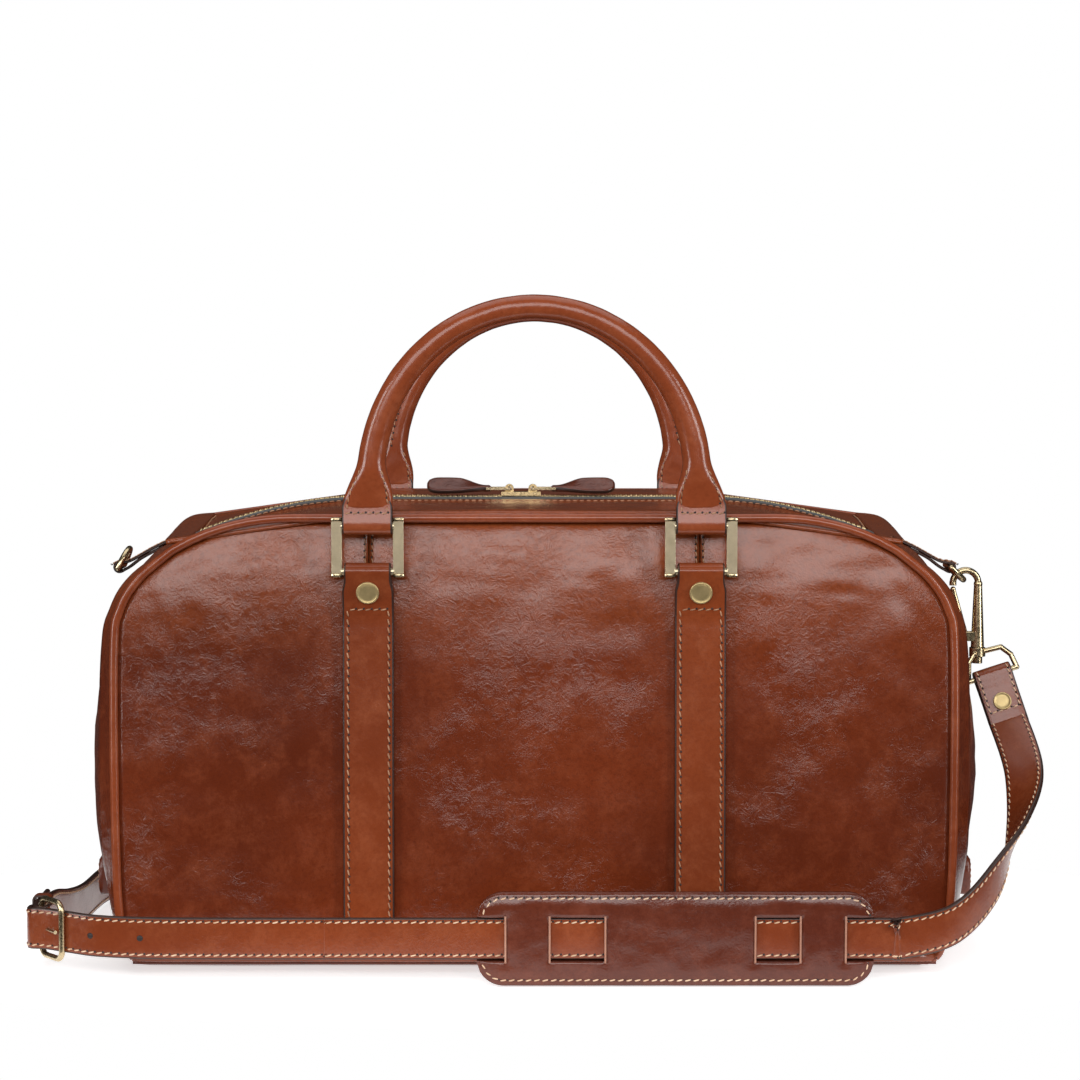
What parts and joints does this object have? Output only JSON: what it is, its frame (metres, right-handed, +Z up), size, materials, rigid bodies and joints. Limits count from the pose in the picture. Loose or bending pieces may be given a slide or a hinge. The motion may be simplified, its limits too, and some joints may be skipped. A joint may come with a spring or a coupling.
{
  "type": "leather weekender bag",
  "caption": "Soft leather weekender bag with two rolled carry handles on hinged metal rings, a zipped top, D rings on its ends and a clip-on padded shoulder strap lying round it.",
  "frame": {"origin": "centre of the bag's flat base, on the surface it stands on", "axes": "+X along the bag's length, towards the clipped end of the shoulder strap; front face towards -Y; +Z up"},
  "size_m": [0.5519, 0.3012, 0.3598],
  "materials": {
    "body_leather": "glossy vegetable-tanned, mottled reddish brown",
    "strap_leather": "semi-gloss tan brown, edge stained",
    "dark_leather": "semi-gloss dark brown",
    "antique_brass": "brushed antique",
    "zip_tape": "woven",
    "cotton_lining": "woven cotton",
    "stiffener_board": "matte"
  },
  "bodies": {
    "bag": {"front_panel_left": "body_leather", "front_panel_centre": "body_leather", "front_panel_right": "body_leather", "back_panel_left": "body_leather", "back_panel_centre": "body_leather", "back_panel_right": "body_leather", "base_panel": "body_leather", "end_gusset_left": "body_leather", "end_gusset_right": "body_leather", "zip_band_front": "body_leather", "zip_band_back": "body_leather", "piping_front": "body_leather", "piping_back": "body_leather", "strap_front_left": "strap_leather", "strap_front_right": "strap_leather", "strap_back_left": "strap_leather", "strap_back_right": "strap_leather", "shoulder_strap_long": "strap_leather", "shoulder_strap_short": "strap_leather", "d_tab_left": "dark_leather", "d_tab_right": "dark_leather", "end_tab_left": "dark_leather", "end_tab_right": "dark_leather", "zip_chain": "antique_brass", "strap_rivets": "antique_brass", "strap_end_rivets": "antique_brass", "swivel_loop_right": "antique_brass", "zip_tape_front": "zip_tape", "zip_tape_back": "zip_tape", "lining": "cotton_lining", "base_board": "stiffener_board"},
    "front_rings": {"front_ring_left": "antique_brass", "front_ring_right": "antique_brass"},
    "front_handle": {"front_handle": "strap_leather", "front_handle_core": "cotton_lining"},
    "back_rings": {"back_ring_left": "antique_brass", "back_ring_right": "antique_brass"},
    "back_handle": {"back_handle": "strap_leather", "back_handle_core": "cotton_lining"},
    "slider_left": {"slider_left": "antique_brass"},
    "slider_right": {"slider_right": "antique_brass"},
    "pull_link_left": {"pull_link_left": "antique_brass"},
    "pull_link_right": {"pull_link_right": "antique_brass"},
    "pull_tab_left": {"pull_tab_left": "dark_leather"},
    "pull_tab_right": {"pull_tab_right": "dark_leather"},
    "d_ring_left": {"d_ring_left": "antique_brass"},
    "d_ring_right": {"d_ring_right": "antique_brass"},
    "clip_hook_right": {"clip_hook_right": "antique_brass"},
    "clip_gate_right": {"clip_gate_right": "antique_brass"},
    "swivel_loop_left": {"swivel_loop_left": "antique_brass"},
    "clip_hook_left": {"clip_hook_left": "antique_brass"},
    "clip_gate_left": {"clip_gate_left": "antique_brass"},
    "buckle_frame": {"buckle_frame": "antique_brass"},
    "buckle_prong": {"buckle_prong": "antique_brass"},
    "keeper": {"keeper_loop": "strap_leather"},
    "shoulder_pad": {"shoulder_pad": "dark_leather"}
  },
  "joints": [
    {"name": "front_rings_tilt", "type": "hinge", "parent": "bag", "child": "front_rings", "pos_m": [0, -0.115, 0.214], "axis": [1, 0, 0], "range_deg": [0, 85]},
    {"name": "front_handle_swing", "type": "hinge", "parent": "front_rings", "child": "front_handle", "pos_m": [0, -0.115, 0.238], "axis": [1, 0, 0], "range_deg": [-20, 80]},
    {"name": "back_rings_tilt", "type": "hinge", "parent": "bag", "child": "back_rings", "pos_m": [0, 0.115, 0.214], "axis": [-1, 0, 0], "range_deg": [0, 85]},
    {"name": "back_handle_swing", "type": "hinge", "parent": "back_rings", "child": "back_handle", "pos_m": [0, 0.115, 0.238], "axis": [-1, 0, 0], "range_deg": [-20, 80]},
    {"name": "slider_left_travel", "type": "slide", "parent": "bag", "child": "slider_left", "axis": [-1, 0, 0], "range_m": [0, 0.084]},
    {"name": "slider_right_travel", "type": "slide", "parent": "bag", "child": "slider_right", "axis": [1, 0, 0], "range_m": [0, 0.092]},
    {"name": "pull_link_left_swing", "type": "hinge", "parent": "slider_left", "child": "pull_link_left", "pos_m": [-0.0145, 0, 0.2517], "axis": [0, 1, 0], "range_deg": [0, 100]},
    {"name": "pull_link_right_swing", "type": "hinge", "parent": "slider_right", "child": "pull_link_right", "pos_m": [-0.0011, 0, 0.2517], "axis": [0, -1, 0], "range_deg": [0, 100]},
    {"name": "pull_tab_left_swing", "type": "hinge", "parent": "pull_link_left", "child": "pull_tab_left", "pos_m": [-0.027, 0, 0.2517], "axis": [0, 1, 0], "range_deg": [0, 60]},
    {"name": "pull_tab_right_swing", "type": "hinge", "parent": "pull_link_right", "child": "pull_tab_right", "pos_m": [0.0114, 0, 0.2517], "axis": [0, -1, 0], "range_deg": [0, 60]},
    {"name": "d_ring_left_swing", "type": "hinge", "parent": "bag", "child": "d_ring_left", "pos_m": [-0.2364, 0, 0.2071], "axis": [0, -1, 0], "range_deg": [0, 160]},
    {"name": "d_ring_right_swing", "type": "hinge", "parent": "bag", "child": "d_ring_right", "pos_m": [0.2364, 0, 0.2071], "axis": [0, 1, 0], "range_deg": [-4, 4]},
    {"name": "clip_hook_right_swivel", "type": "hinge", "parent": "bag", "child": "clip_hook_right", "pos_m": [0.2534, 0, 0.158], "axis": [0, 0, 1], "range_deg": [-12, 12]},
    {"name": "clip_gate_right_press", "type": "hinge", "parent": "clip_hook_right", "child": "clip_gate_right", "pos_m": [0.2469, 0, 0.167], "axis": [0, 1, 0], "range_deg": [0, 14], "stiffness_Nm_per_rad": 0.02, "springref_deg": -11.46},
    {"name": "swivel_loop_left_swing", "type": "hinge", "parent": "bag", "child": "swivel_loop_left", "pos_m": [0.03, 0.142, 0.017], "axis": [0, 0, 1], "range_deg": [0, 35]},
    {"name": "clip_hook_left_swivel", "type": "hinge", "parent": "swivel_loop_left", "child": "clip_hook_left", "pos_m": [0.052, 0.142, 0.017], "axis": [1, 0, 0], "continuous": true},
    {"name": "clip_gate_left_press", "type": "hinge", "parent": "clip_hook_left", "child": "clip_gate_left", "pos_m": [0.061, 0.1355, 0.017], "axis": [0, 0, 1], "range_deg": [0, 14], "stiffness_Nm_per_rad": 0.02, "springref_deg": -11.46},
    {"name": "buckle_frame_swing", "type": "hinge", "parent": "bag", "child": "buckle_frame", "pos_m": [-0.26075, -0.12546, 0.027], "axis": [0, 0, -1], "range_deg": [0, 4]},
    {"name": "buckle_prong_swing", "type": "hinge", "parent": "buckle_frame", "child": "buckle_prong", "pos_m": [-0.26075, -0.12546, 0.027], "axis": [0, 0, -1], "range_deg": [0, 2]},
    {"name": "keeper_slide", "type": "slide", "parent": "bag", "child": "keeper", "axis": [0, 1, 0], "range_m": [-0.005, 0.005]},
    {"name": "shoulder_pad_slide", "type": "slide", "parent": "bag", "child": "shoulder_pad", "axis": [1, 0, 0], "range_m": [-0.06, 0.01]}
  ]
}
